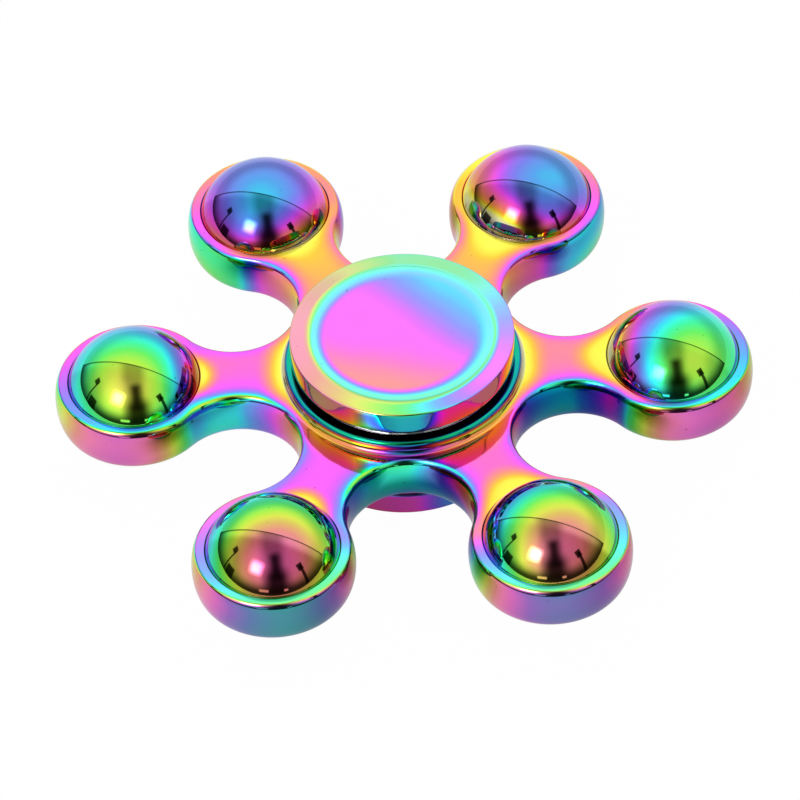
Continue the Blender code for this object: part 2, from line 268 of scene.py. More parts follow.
def refined(points, spacing):
    """The same profile with long straight stretches cut into steps of at most the spacing."""
    fine = [points[0]]
    for start, end in zip(points, points[1:]):
        count = max(1, math.ceil(math.dist(start, end) / spacing))
        for share in (i / count for i in range(1, count + 1)):
            fine.append((mixed(start[0], end[0], share), mixed(start[1], end[1], share)))
    return fine


# ---------------------------------------------------------------- meshes


def grid_faces(rows, columns, first, flipped):
    """Quads over a grid of points stored row after row."""
    index = first + np.arange(rows * columns).reshape(rows, columns)
    quads = np.stack(
        [index[:-1, :-1], index[:-1, 1:], index[1:, 1:], index[1:, :-1]], axis=-1
    ).reshape(-1, 4)
    return quads[:, ::-1] if flipped else quads


def mesh_from_grids(name, grids):
    """Welds (grid of points, flipped) pairs into one smooth mesh."""
    points, quads, first = [], [], 0
    for grid, flipped in grids:
        rows, columns = grid.shape[:2]
        points.append(grid.reshape(-1, 3))
        quads.append(grid_faces(rows, columns, first, flipped))
        first += rows * columns
    mesh = bpy.data.meshes.new(name)
    mesh.from_pydata(np.concatenate(points), [], np.concatenate(quads))
    bm = bmesh.new()
    bm.from_mesh(mesh)
    bmesh.ops.remove_doubles(bm, verts=bm.verts, dist=WELD)
    bmesh.ops.recalc_face_normals(bm, faces=bm.faces)
    bm.to_mesh(mesh)
    bm.free()
    mesh.shade_smooth()
    mesh.set_sharp_from_angle(angle=SHARP_ANGLE)
    return mesh


def swept(profile, turn, axis_x=0.0):
    """A profile of (r, z) points at each angle about an upright axis, as a grid of points."""
    r, z = np.array(profile).T[:, :, None]
    return np.stack([axis_x + r * np.cos(turn), r * np.sin(turn), z + 0.0 * turn], axis=-1)


def turned_mesh(name, profile, steps):
    """A profile turned once about the spin axis."""
    turn = np.linspace(0.0, 2.0 * math.pi, steps + 1)
    return mesh_from_grids(name, [(swept(profile, turn), False)])


def ball_mesh(name, centre):
    """A ball of nearly square facets: a cube cut fine and swelled out."""
    bm = bmesh.new()
    bmesh.ops.create_cube(bm, size=2.0)
    bmesh.ops.subdivide_edges(bm, edges=bm.edges, cuts=BALL_CUTS, use_grid_fill=True)
    for vert in bm.verts:
        even = [math.tan(axis * math.pi / 4.0) for axis in vert.co]
        vert.co = Vector(even).normalized() * BALL_RADIUS + centre
    mesh = bpy.data.meshes.new(name)
    bm.to_mesh(mesh)
    bm.free()
    mesh.shade_smooth()
    return mesh


def add_film(mesh, *values):
    """Stores the film's numbers at every point: thickness, painted shade and, where there is any, pale."""
    for name, numbers in zip(("film", "painted_shade", "pale"), values):
        attribute = mesh.attributes.new(name, "FLOAT", "POINT")
        attribute.data.foreach_set("value", numbers.astype(np.float32))


def mesh_points(mesh):
    """Places and normals of a mesh's points, as arrays."""
    places = np.empty(3 * len(mesh.vertices), np.float32)
    mesh.vertices.foreach_get("co", places)
    normals = np.empty_like(places)
    mesh.vertices.foreach_get("normal", normals)
    return places.reshape(-1, 3).astype(float), normals.reshape(-1, 3).astype(float)


def add_piece(name, mesh, body, material, slot, *nodes):
    """A finished piece that rides on a body and stands for the CAD nodes named."""
    piece = bpy.data.objects.new(name, mesh)
    bpy.context.scene.collection.objects.link(piece)
    mesh.materials.append(material)
    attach(piece, body)
    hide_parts(*nodes)


# ---------------------------------------------------------------- casting


class Outline:
    """Half of one arm's outline on the flat face, from the valley at 30 degrees to the pod's far end."""

    def __init__(self):
        self.pod = POD_RADIUS - EDGE_BULGE
        self.web = WEB_RADIUS - EDGE_BULGE
        reach = PITCH * math.cos(HALF_STEP)
        self.valley = (self.web**2 - self.pod**2 + PITCH**2 - 2.0 * reach * self.web) / (
            2.0 * (self.pod - self.web + reach)
        )
        bisector = np.array([math.cos(HALF_STEP), math.sin(HALF_STEP)])
        self.pod_centre = np.array([PITCH, 0.0])
        self.valley_centre = bisector * (self.web + self.valley)
        gap = self.valley_centre - self.pod_centre
        self.pod_sweep = math.atan2(gap[1], gap[0])

    def points(self, valley_steps, pod_steps):
        """Points of the outline and their outward normals, both as rows of (x, y)."""
        start = HALF_STEP - math.pi
        end = self.pod_sweep - math.pi
        turn = np.linspace(start, end, valley_steps + 1)
        inward = np.stack([np.cos(turn), np.sin(turn)], axis=-1)
        places = [self.valley_centre + self.valley * inward]
        normals = [-inward]
        turn = np.linspace(self.pod_sweep, 0.0, pod_steps + 1)[1:]
        outward = np.stack([np.cos(turn), np.sin(turn)], axis=-1)
        places.append(self.pod_centre + self.pod * outward)
        normals.append(outward)
        return np.concatenate(places), np.concatenate(normals)

    def depth(self, x, y):
        """How far inside the flat face's edge a point of the half arm lies, and the edge's normal."""
        to_pod = np.stack([x, y], axis=-1) - self.pod_centre
        to_valley = self.valley_centre - np.stack([x, y], axis=-1)
        pod_distance = np.linalg.norm(to_pod, axis=-1)
        valley_distance = np.linalg.norm(to_valley, axis=-1)
        at_pod = np.arctan2(to_pod[..., 1], to_pod[..., 0]) < self.pod_sweep
        depth = np.where(at_pod, self.pod - pod_distance, valley_distance - self.valley)
        normal = np.where(
            at_pod[..., None],
            to_pod / pod_distance[..., None],
            to_valley / valley_distance[..., None],
        )
        return depth, normal


OUTLINE = Outline()


def seat_lip_centre():
    """Where the small round between the face and the ball's seat has its centre, as (r, z)."""
    height = BODY_HALF - SEAT_LIP
    return math.sqrt((SEAT_RADIUS + SEAT_LIP) ** 2 - height**2), height


def face_grid():
    """Half of one arm's flat face, between the collar's foot, the seat's lip and the outline."""
    outer, normals = OUTLINE.points(VALLEY_STEPS, POD_STEPS)
    corner = FOOT_RADIUS * np.array([math.cos(HALF_STEP), math.sin(HALF_STEP)])
    shares = np.arange(BISECTOR_STEPS)[:, None] / BISECTOR_STEPS
    outer = np.concatenate([mixed(corner, outer[0], shares), outer])

    hole = seat_lip_centre()[0]
    near = np.linspace(FOOT_RADIUS, PITCH - hole, AXIS_STEPS + 1)
    turn = np.linspace(math.pi, 0.0, len(outer) - AXIS_STEPS)[1:]
    around = np.stack([PITCH + hole * np.cos(turn), hole * np.sin(turn)], axis=-1)
    inner = np.concatenate([np.stack([near, 0.0 * near], axis=-1), around])

    # a patch filled in between its four sides: the seat, the outline, the foot and the pod's far end
    across = np.linspace(0.0, 1.0, FACE_ROWS + 1)
    turn = across * HALF_STEP
    foot_side = FOOT_RADIUS * np.stack([np.cos(turn), np.sin(turn)], axis=-1)
    far_side = mixed(inner[-1], outer[-1], across[:, None])
    s = np.linspace(0.0, 1.0, len(outer))[None, :, None]
    t = across[:, None, None]
    corners = mixed(mixed(inner[0], outer[0], t), mixed(inner[-1], outer[-1], t), s)
    flat = mixed(inner[None], outer[None], t) + mixed(foot_side[:, None], far_side[:, None], s) - corners
    face = np.concatenate([flat, np.full(flat.shape[:2] + (1,), BODY_HALF)], axis=-1)
    return face, outer[BISECTOR_STEPS:], normals


def edge_grid(outer, normals):
    """The barrel-shaped edge from the face down to the mid-plane."""
    turn = np.linspace(math.pi / 2.0, 0.0, EDGE_STEPS + 1)[:, None, None]
    flat = outer[None] + normals[None] * EDGE_BULGE * np.cos(turn)
    height = BODY_HALF * np.sin(turn) + 0.0 * flat[..., :1]
    return np.concatenate([flat, height], axis=-1)


def seat_grid():
    """Half of one ball's seat: a small round at the face, then the sphere down to the mid-plane."""
    lip_r, lip_z = seat_lip_centre()
    tangent = math.degrees(math.atan2(lip_z, lip_r))
    profile = arc((lip_r, lip_z), SEAT_LIP, 90.0, 180.0 + tangent, LIP_STEPS)
    profile += arc((0.0, 0.0), SEAT_RADIUS, tangent, 0.0, SEAT_STEPS)[1:]
    columns = BISECTOR_STEPS + VALLEY_STEPS + POD_STEPS + 1 - AXIS_STEPS
    return swept(profile, np.linspace(math.pi, 0.0, columns), PITCH)


def collar_grid():
    """A slice of the collar: fillet, wall, lip, top, chamfer and bore."""
    foot = (FOOT_RADIUS, BODY_HALF + COLLAR_FILLET)
    lip = (COLLAR_RADIUS - COLLAR_LIP, COLLAR_HALF - COLLAR_LIP)
    profile = arc(foot, COLLAR_FILLET, 270.0, 180.0, COLLAR_STEPS)
    profile += arc(lip, COLLAR_LIP, 0.0, 90.0, COLLAR_STEPS)
    profile += [(BORE_RADIUS + BORE_CHAMFER, COLLAR_HALF), (BORE_RADIUS, COLLAR_HALF - BORE_CHAMFER)]
    profile = refined(profile + [(BORE_RADIUS, 0.0)], COLLAR_PROFILE_STEP)
    return swept(profile, np.linspace(0.0, HALF_STEP, FACE_ROWS + 1))


def casting_mesh():
    """One half arm above the mid-plane, mirrored and turned until the casting is whole."""
    face, outer, normals = face_grid()
    parts = [face, edge_grid(outer, normals), seat_grid(), collar_grid()]
    grids = []
    for arm in range(ARM_COUNT):
        angle = 2.0 * HALF_STEP * arm
        spin = np.array(
            [
                [math.cos(angle), -math.sin(angle), 0.0],
                [math.sin(angle), math.cos(angle), 0.0],
                [0.0, 0.0, 1.0],
            ]
        )
        for side in (1.0, -1.0):
            for hand in (1.0, -1.0):
                for part in parts:
                    grids.append(((part * (1.0, hand, side)) @ spin.T, side * hand < 0.0))
    return mesh_from_grids("casting", grids)


class CastingPlaces:
    """Where the casting's points lie, in millimetres, and which way its edge faces beside them."""

    def __init__(self, places, normals):
        # in the spinner, and along and across the nearest arm
        self.x, self.y, self.z = (places / MM).T
        self.azimuth = np.arctan2(self.y, self.x)
        self.radius = np.hypot(self.x, self.y)
        arm = np.round(self.azimuth / (2.0 * HALF_STEP)) * 2.0 * HALF_STEP
        folded = self.azimuth - arm
        self.along = self.radius * np.cos(folded)
        self.across = np.abs(self.radius * np.sin(folded))

        # how far inside the flat face's edge, which way that edge faces, and how much this is edge
        depth, edge_normal = OUTLINE.depth(self.along * MM, self.across * MM)
        self.depth = depth / MM
        sideways = edge_normal[..., 1] * np.sign(folded)
        self.facing_right = edge_normal[..., 0] * np.cos(arm) - sideways * np.sin(arm)
        self.facing_front = -(edge_normal[..., 0] * np.sin(arm) + sideways * np.cos(arm))
        self.steepness = smooth(0.85, 0.40, np.abs(normals[:, 2])) * smooth(0.06, -0.06, self.depth)

        # the arm's pod: its place, the direction from it, and the degrees around it from its neck
        pitch = PITCH / MM
        self.pod_x = pitch * np.cos(arm)
        self.pod_y = pitch * np.sin(arm)
        self.around = np.arctan2(self.y - self.pod_y, self.x - self.pod_x)
        self.from_neck = np.degrees(np.arctan2(self.across, pitch - self.along))
        self.at_front = smooth(0.0, -20.0, self.pod_y)
        self.at_back = smooth(0.0, 20.0, self.pod_y)
        self.to_right = smooth(-5.0, 8.0, self.x)


def face_film(at):
    """On the flat faces: yellow beside the collar and the seats, thickest at the front."""
    film = FACE_FILM - 0.28 * smooth(-8.0, 20.0, at.y)
    film -= 0.08 * at.to_right * smooth(14.0, 0.0, at.y)

    # thin beside the collar and the seat
    film *= smooth(13.2, 16.0, at.radius) * smooth(25.0, 21.5, at.along)
    from_pod = np.hypot(at.x - at.pod_x, at.y - at.pod_y) + 0.12 * at.across**2
    film *= smooth(7.5 + 0.9 * at.to_right, 9.6 + 1.9 * at.to_right, from_pod)

    # thicker again along the edge
    edge = EDGE_FILM + 0.16 * smooth(-0.6, 0.9, at.facing_front)
    edge += 0.15 * smooth(2.0, -6.0, at.x) * smooth(0.0, 0.6, at.facing_front)
    return film + edge * smooth(25.0, 20.0, at.along) * np.exp(-np.maximum(at.depth, 0.0) / 0.6)


def rim_film(at):
    """On the flat rims around the seats, thickest on the side that faces the front."""
    film = RIM_FILM - 0.06 * at.at_front - 0.0063 * at.pod_y - 0.0024 * np.abs(at.pod_y)
    film -= 0.0003 * at.pod_x + 0.06 * at.to_right * at.at_back
    film += (0.083 - 0.10 * (1.0 - at.to_right) * at.at_back) * np.cos(at.around)
    return film - (0.17 + 0.06 * at.at_front) * np.sin(at.around)


def pod_wall_film(at):
    """On the barrel-shaped edge around a pod, thinner towards the neck."""
    film = POD_WALL_FILM - 0.0067 * at.pod_y - 0.00018 * at.pod_x * np.abs(at.pod_y)
    film -= 0.057 * at.z + 0.08 * at.to_right * at.at_back
    film += (0.054 + 0.08 * at.at_front) * np.cos(at.around)
    film += 0.15 * np.sin(at.around) ** 2 - 0.08 * np.sin(at.around)
    return film - 0.78 * (np.maximum(140.0 - at.from_neck, 0.0) / 110.0) ** 2


def web_wall_film(at):
    """On the barrel-shaped edge in the valleys between the arms."""
    rightward = np.maximum(at.facing_right, 0.0)
    leftward = np.minimum(at.facing_right, 0.0)
    film = WEB_WALL_FILM + 0.40 * leftward + 0.08 * rightward
    film -= smooth(3.0, 9.0, at.x) * (0.09 + 0.17 * smooth(0.6, 1.0, at.facing_right))
    film -= 0.06 * smooth(-4.0, -9.0, at.x)
    film = mixed(film, BACK_VALLEY_FILM, smooth(1.0, 8.0, at.y))

    # thicker lower down, in the front valley mostly on its right
    skew = 0.45 - 0.2 * rightward + 2.4 * leftward
    return film + 0.06 * (1.4 - at.z) * (1.0 - skew * smooth(9.0, 5.0, np.abs(at.x)))


def collar_film(at):
    """On the collar: a gold wall under a teal lip, violet between the two front arms."""
    wall = COLLAR_FILM + 0.46 * np.exp(-(((at.azimuth + math.pi / 2.0) / 0.24) ** 2))
    lip = COLLAR_LIP_FILM + 0.15 * np.minimum(np.sin(at.azimuth), 0.0)
    return mixed(wall, lip, smooth(3.1, 3.65, np.abs(at.z)))


def edge_painted_shade(at):
    """Painted shade on the edge: darker low down in the valleys, where the table beneath lies in shadow,
    on sides facing right, away from the light, and at the necks beside the hub.
    """
    painted_shade = np.maximum(smooth(1.6, -0.6, at.z), smooth(0.25, 0.55, np.abs(at.facing_right)))
    painted_shade = np.maximum(painted_shade, smooth(5.0, 10.0, at.x)) * (1.0 - 0.85 * smooth(-5.0, -11.0, at.x))
    painted_shade *= (1.0 - 0.5 * smooth(0.0, 8.0, at.y)) * smooth(85.0, 35.0, at.from_neck)
    painted_shade = np.maximum(painted_shade, 0.55 * smooth(0.0, 0.9, at.facing_right))
    neck = np.exp(-(((at.from_neck - 65.0 + 0.75 * at.pod_y) / 17.0) ** 2)) * smooth(-1.5, 1.5, at.z)
    return np.maximum(painted_shade, 0.9 * neck)


def casting_film(places, normals):
    """The film's thickness on the casting, its painted shade, and where it is pale."""
    at = CastingPlaces(places, normals)

    # where the rims and the collar begin; on the right and at the back the rims begin later
    late = np.maximum(at.to_right, smooth(0.0, 15.0, at.y))
    on_rim = smooth(25.0 * late, 75.0 + 15.0 * late, at.from_neck) * smooth(20.0, 23.0, at.along)
    on_collar = smooth(13.25, 12.95, at.radius)

    face = face_film(at) + rim_film(at) * on_rim
    wall = mixed(web_wall_film(at), pod_wall_film(at), smooth(28.0, 55.0, at.from_neck))
    film = mixed(mixed(face, wall, at.steepness), collar_film(at), on_collar)
    # painted shade on the collar, strongest on its upper wall and lip, in the shade under the thumb cap
    collar_painted_shade = 0.35 + 0.50 * smooth(2.7, 3.1, np.abs(at.z))
    painted_shade = mixed(edge_painted_shade(at) * at.steepness, collar_painted_shade, on_collar)
    return film, painted_shade, 0.10 * at.at_front * on_rim * (1.0 - at.steepness)


def make_casting():
    mesh = casting_mesh()
    add_film(mesh, *casting_film(*mesh_points(mesh)))
    material = film_material("plated_casting", FILM_ANGLE_SHIFT, roughness=0.05, ripple=0.25)
    add_piece("rainbow_casting", mesh, "rotor", material, "frame_film", "frame_body")


# ---------------------------------------------------------------- balls and caps


def ball_film(places, centre):
    """The film's thickness on one ball, thinner towards the hub and at the back, and its painted shade."""
    x, y, z = ((places - np.array(centre)) / BALL_RADIUS).T
    out_x, out_y = centre.x / PITCH, centre.y / PITCH
    at_back = max(out_y, 0.0)
    outward = x * out_x + y * out_y
    film = BALL_FILM - 0.20 * out_y - 0.059 * out_x
    film += 0.134 * x + 0.125 * y + 0.075 * z + (0.263 + 0.105 * out_y) * outward
    film -= 1.05 * np.maximum(-0.354 - outward, 0.0) ** 2

    # the back balls are thinner low down on their front, the right one on its whole front
    film -= 0.26 * at_back * smooth(0.70, 0.15, z) * smooth(-0.2, -0.7, y)
    film -= 0.13 * at_back * (0.5 + out_x) * smooth(-0.1, -0.9, y)

    # painted shade over every ball, more on the back ones, darker on the side that faces the tent's
    # opening, a painted reflection of the dim room, and beside the hub, a painted reflection of its dark
    # gap
    to_opening = smooth(-0.08, -0.18, x * TENT_AXIS.x + y * TENT_AXIS.y + z * TENT_AXIS.z)
    beside_hub = smooth(-0.35, -0.65, outward) * smooth(0.64, 0.46, np.abs(z))
    painted_shade = 0.10 + 0.18 * at_back
    painted_shade += (0.15 + 0.25 * at_back + 0.50 * smooth(0.80, 0.98, film)) * to_opening
    return film, np.maximum(painted_shade, 0.85 * beside_hub)


def make_balls():
    material = film_material("plated_ball", BALL_ANGLE_SHIFT, roughness=0.03, ripple=0.05)
    for number in range(1, ARM_COUNT + 1):
        node = "weight_ball_%d" % number
        name = "mirror_ball_%d" % number
        low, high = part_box(node)
        centre = (low + high) / 2.0
        mesh = ball_mesh(name, centre)
        add_film(mesh, *ball_film(mesh_points(mesh)[0], centre))
        add_piece(name, mesh, "rotor", material, "ball_film", node)


def dish_profile():
    """From the middle of the thumb dish out to the flat ring around it."""
    slope, steep = math.radians(DISH_SLOPE), math.radians(DISH_STEEP)
    floor_edge = DISH_RADIUS - DISH_BLEND * (math.sin(steep) - math.sin(slope))
    floor_height = CAP_TOP - DISH_BLEND * (math.cos(slope) - math.cos(steep))
    bowl = floor_edge / math.sin(slope)
    bowl_centre = (0.0, floor_height + bowl * math.cos(slope))
    floor = arc(bowl_centre, bowl, -90.0, DISH_SLOPE - 90.0, DISH_FLOOR_STEPS)
    floor[0] = (0.0, floor[0][1])
    blend_centre = (
        floor_edge - DISH_BLEND * math.sin(slope),
        floor_height + DISH_BLEND * math.cos(slope),
    )
    blend = arc(blend_centre, DISH_BLEND, DISH_SLOPE - 90.0, DISH_STEEP - 90.0, DISH_BLEND_STEPS)[1:-1]
    lip = arc((DISH_RADIUS + 0.7 * DISH_LIP, CAP_TOP - DISH_LIP), DISH_LIP, 135.0, 90.0, DISH_LIP_STEPS)
    return floor + blend + lip


def cap_profile(stud):
    """Half section of a thumb cap; stud says whether its sleeve carries the stud or the thread."""
    edge = CAP_RADIUS - CAP_EDGE
    points = dish_profile()
    points += arc((edge, CAP_TOP - CAP_EDGE), CAP_EDGE, 90.0, 0.0, CAP_EDGE_STEPS)
    points += arc((edge, CAP_UNDER + CAP_EDGE), CAP_EDGE, 0.0, -90.0, CAP_EDGE_STEPS)
    points += [
        (SHOULDER_RADIUS, CAP_UNDER),
        (SHOULDER_RADIUS, SHOULDER_FACE),
        (SLEEVE_RADIUS, SHOULDER_FACE),
        (SLEEVE_RADIUS, SLEEVE_END),
    ]
    if stud:
        points += [(STUD_RADIUS, SLEEVE_END), (STUD_RADIUS, -STUD_END), (0.0, -STUD_END)]
    else:
        points += [(THREAD_RADIUS, SLEEVE_END), (THREAD_RADIUS, THREAD_END), (0.0, THREAD_END)]
    return refined(points, CAP_PROFILE_STEP)


def dish_film(x, y, radius, across, back):
    """In the thumb dish: a floor, thicker towards the back right, and a band along its shoulder."""
    diagonal = 0.75 * x + 0.66 * y
    film = DISH_FILM + 0.29 * smooth(0.5, 9.0, diagonal)
    film -= 0.15 * smooth(-1.0, -8.0, 0.3 * x + 0.95 * y)
    shoulder = smooth(7.9 + 0.3 * back - 0.3 * across, 9.3, radius)
    film = mixed(film, DISH_SHOULDER_FILM - 0.09 * back, shoulder)
    at_lip = (1.0 - 0.85 * smooth(0.0, 0.8, back)) * smooth(9.55, 10.05, radius)
    return film + (0.24 - 0.10 * across) * at_lip


def cap_film(places, normals):
    """The film's thickness on a thumb cap, in bands around its dish, its painted shade, and where it is
    pale.
    """
    x, y, z = (places / MM).T
    upward = normals[:, 2]
    radius = np.hypot(x, y)
    across = x / np.maximum(radius, 1.0)
    back = y / np.maximum(radius, 1.0)

    ring = CAP_RING_FILM - 0.40 * across + np.maximum(across, 0.0) * (0.08 + 0.40 * back)
    wall = CAP_WALL_FILM + 0.53 * smooth(-0.25, -0.6, across) - 0.38 * smooth(0.1, 0.4, across)
    lower_cap = LOWER_CAP_FILM + 0.36 * smooth(0.0, 0.45, across)
    on_wall = smooth(0.8, 0.4, np.abs(upward)) * smooth(11.5, 11.9, radius)
    on_ring = smooth(10.0, 10.25, radius) * smooth(0.6, 0.95, upward)
    below = smooth(0.0, -1.0, z)
    film = mixed(dish_film(x, y, radius, across, back), ring, smooth(10.05, 10.2, radius))
    film = mixed(mixed(film, wall, on_wall), lower_cap, below)

    # painted shade on the cap's side wall, on the back of its flat ring, and over the whole lower cap,
    # which lies under the casting
    painted_shade = np.maximum(0.5 * on_wall, 0.3 * on_ring * smooth(0.2, 0.9, back))
    pale = 0.06 + 0.11 * smooth(8.4, 9.3, radius) + 0.08 * back * on_ring
    return film, np.maximum(painted_shade, 0.6 * below), pale * smooth(0.3, 0.7, upward)


def make_caps():
    material = film_material("plated_cap", FILM_ANGLE_SHIFT, roughness=0.06, ripple=0.12)
    for name, node, side in (("thumb_cap_top", "top_cap", 1.0), ("thumb_cap_bottom", "bottom_cap", -1.0)):
        profile = [(r, z * side) for r, z in cap_profile(stud=side < 0.0)]
        mesh = turned_mesh(name, profile, CAP_TURN_STEPS)
        add_film(mesh, *cap_film(*mesh_points(mesh)))
        add_piece(name, mesh, "axle", material, "cap_film", node)


# ---------------------------------------------------------------- materials


def linear(colour):
    """A screen colour of 0 to 255 as a linear one."""
    shares = [channel / 255.0 for channel in colour]
    return [s / 12.92 if s <= 0.04045 else ((s + 0.055) / 1.055) ** 2.4 for s in shares]


class Graph:
    """Adds nodes to a tree; inputs are numbers, vectors or other nodes' sockets."""

    def __init__(self, tree):
        self.tree = tree
        tree.nodes.clear()

    def node(self, kind, inputs=(), **settings):
        node = self.tree.nodes.new(kind)
        for key, value in settings.items():
            setattr(node, key, value)
        pairs = inputs.items() if isinstance(inputs, dict) else enumerate(inputs)
        for key, value in pairs:
            if isinstance(value, bpy.types.NodeSocket):
                self.tree.links.new(value, node.inputs[key])
            else:
                node.inputs[key].default_value = value
        return node

    def math(self, operation, *inputs):
        return self.node("ShaderNodeMath", inputs, operation=operation).outputs[0]

    def dot(self, first, second):
        if not isinstance(second, bpy.types.NodeSocket):
            second = tuple(second)
        return self.node("ShaderNodeVectorMath", (first, second), operation="DOT_PRODUCT").outputs["Value"]

    def attribute(self, name):
        return self.node("ShaderNodeAttribute", attribute_name=name).outputs["Fac"]

    def smooth(self, value, low, high):
        """Smoothstep of a value, from 0 at low to 1 at high."""
        inputs = {"Value": value, "From Min": low, "From Max": high}
        return self.node("ShaderNodeMapRange", inputs, interpolation_type="SMOOTHSTEP").outputs["Result"]

    def toned(self, value, low, high):
        """A value of 0 to 1 brought between low and high."""
        inputs = {"Value": value, "To Min": low, "To Max": high}
        return self.node("ShaderNodeMapRange", inputs).outputs[0]

    def mix(self, share, first, second):
        """Mixes two numbers."""
        inputs = {"Factor": share, "A": first, "B": second}
        return self.node("ShaderNodeMix", inputs, data_type="FLOAT").outputs[0]

    def blend(self, share, first, second):
        """Mixes two colours."""
        return self.node("ShaderNodeMix", {0: share, 6: first, 7: second}, data_type="RGBA").outputs[2]

    def product(self, first, second):
        """Multiplies two colours."""
        inputs = {0: 1.0, 6: first, 7: second}
        return self.node("ShaderNodeMix", inputs, data_type="RGBA", blend_type="MULTIPLY").outputs[2]

    def scaled(self, colour, share):
        """A colour made darker."""
        return self.product(colour, self.node("ShaderNodeCombineColor", [share] * 3).outputs[0])

    def noise(self, vector, scale, detail=2.0):
        inputs = {"Vector": vector, "Scale": scale, "Detail": detail}
        return self.node("ShaderNodeTexNoise", inputs).outputs["Fac"]


def film_ramp(graph, thickness):
    """The film's colour at a thickness."""
    low, high = FILM_COLOURS[0][0], FILM_COLOURS[-1][0]
    inputs = {"Value": thickness, "From Min": low, "From Max": high}
    place = graph.node("ShaderNodeMapRange", inputs).outputs["Result"]
    ramp = graph.node("ShaderNodeValToRGB", [place])
    stops = ramp.color_ramp.elements
    while len(stops) > 1:
        stops.remove(stops[-1])
    for i, (value, colour) in enumerate(FILM_COLOURS):
        stop = stops[0] if i == 0 else stops.new((value - low) / (high - low))
        stop.position = (value - low) / (high - low)
        stop.color = (*linear(colour), 1.0)
    return ramp.outputs["Color"]


def film_material(name, angle_shift, roughness, ripple):
    """Polished metal whose interference film takes its colour from its thickness and the view."""
    material = bpy.data.materials.new(name)
    material.use_nodes = True
    graph = Graph(material.node_tree)
    place = graph.node("ShaderNodeTexCoord").outputs["Object"]
    geometry = graph.node("ShaderNodeNewGeometry")
    square_on = graph.dot(geometry.outputs["Incoming"], geometry.outputs["Normal"])
    square_on = graph.math("MULTIPLY", square_on, square_on)
    shift = graph.math("MULTIPLY", graph.math("SUBTRACT", square_on, LEVEL_FACE_VIEW), angle_shift)
    cloud = graph.math("SUBTRACT", graph.noise(place, CLOUD_SCALE), 0.5)
    drift = graph.math("MULTIPLY", cloud, CLOUD_DRIFT)
    thickness = graph.math("ADD", graph.math("ADD", graph.attribute("film"), shift), drift)
    colour = film_ramp(graph, thickness)
    # painted shade: the film colour squared and darkened, blended in where the painted-shade attribute is
    # high
    painted_shade_colour = graph.scaled(graph.product(colour, colour), PAINTED_SHADE_STRENGTH)
    colour = graph.blend(graph.attribute("painted_shade"), colour, painted_shade_colour)
    colour = graph.blend(graph.attribute("pale"), colour, PALE_METAL)

    # pinholes in the plating and a soft haze of handling marks
    speck = graph.smooth(graph.noise(place, SPECK_SCALE, 0.0), *SPECK_EDGE)
    shade = graph.math("MULTIPLY", speck, SPECK_SHADE)
    colour = graph.scaled(colour, graph.math("SUBTRACT", 1.0, shade))
    haze = graph.noise(place, HAZE_SCALE, 4.0)
    gloss = graph.math("ADD", roughness, graph.math("MULTIPLY", haze, HAZE_SHARE * roughness))

    waves = graph.noise(place, RIPPLE_SCALE, 1.0)
    inputs = {"Strength": ripple, "Distance": RIPPLE_HEIGHT, "Height": waves}
    bump = graph.node("ShaderNodeBump", inputs)
    shader = graph.node(
        "ShaderNodeBsdfPrincipled",
        {
            "Base Color": colour,
            "Metallic": 1.0,
            "Roughness": gloss,
            "Normal": bump.outputs["Normal"],
        },
    )
    graph.node("ShaderNodeOutputMaterial", [shader.outputs[0]])
    return material


def steel_material(name, colour, roughness, grain):
    """Plain bearing steel with fine turning marks around the spin axis."""
    material = bpy.data.materials.new(name)
    material.use_nodes = True
    graph = Graph(material.node_tree)
    place = graph.node("ShaderNodeTexCoord").outputs["Object"]
    parts = graph.node("ShaderNodeSeparateXYZ", [place])
    squares = [graph.math("MULTIPLY", axis, axis) for axis in (parts.outputs[0], parts.outputs[1])]
    radius = graph.math("SQRT", graph.math("ADD", *squares))
    rings = graph.node("ShaderNodeCombineXYZ", [radius, parts.outputs[2], 0.0]).outputs[0]
    marks = graph.noise(rings, TURNING_SCALE, 3.0)
    tone = graph.toned(marks, TURNING_TONE, 1.0)
    shade = [graph.math("MULTIPLY", tone, channel) for channel in colour]
    base = graph.node("ShaderNodeCombineColor", shade).outputs[0]
    inputs = {"Strength": grain, "Distance": TURNING_HEIGHT, "Height": marks}
    bump = graph.node("ShaderNodeBump", inputs)
    wear = graph.math("MULTIPLY", graph.noise(place, WEAR_SCALE), WEAR_ROUGHNESS)
    worn = graph.math("ADD", roughness, wear)
    shader = graph.node(
        "ShaderNodeBsdfPrincipled",
        {"Base Color": base, "Metallic": 1.0, "Roughness": worn, "Normal": bump.outputs["Normal"]},
    )
    graph.node("ShaderNodeOutputMaterial", [shader.outputs[0]])
    return material


def dress_bearing():
    """Steel on the CAD's bearing parts, which keep their shapes."""
    ground = steel_material("ground_steel", (0.56, 0.57, 0.59), roughness=0.20, grain=0.5)
    lapped = steel_material("lapped_steel", (0.66, 0.67, 0.69), roughness=0.06, grain=0.05)
    pressed = steel_material("pressed_steel", (0.50, 0.49, 0.47), roughness=0.30, grain=0.3)
    for name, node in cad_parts.items():
        if node.hide_render:
            continue
        if name.startswith("bearing_ball"):
            material = lapped
        elif name.startswith("cage"):
            material = pressed
        else:
            material = ground
        node.data.materials.clear()
        node.data.materials.append(material)


# ---------------------------------------------------------------- studio


def panel(graph, ray, direction, half_width, half_height, softness):
    """1 inside an upright rectangle around a direction, 0 outside."""
    centre = Vector(direction).normalized()
    side = centre.cross(UP).normalized()
    top = side.cross(centre)
    toward = graph.dot(ray, centre)
    ahead = graph.math("MAXIMUM", toward, 0.01)
    share = graph.math("GREATER_THAN", toward, 0.0)
    for axis, half in ((side, half_width), (top, half_height)):
        reach = graph.math("ABSOLUTE", graph.math("DIVIDE", graph.dot(ray, axis), ahead))
        inside = graph.smooth(reach, half + softness, half - softness)
        share = graph.math("MULTIPLY", share, inside)
    return share


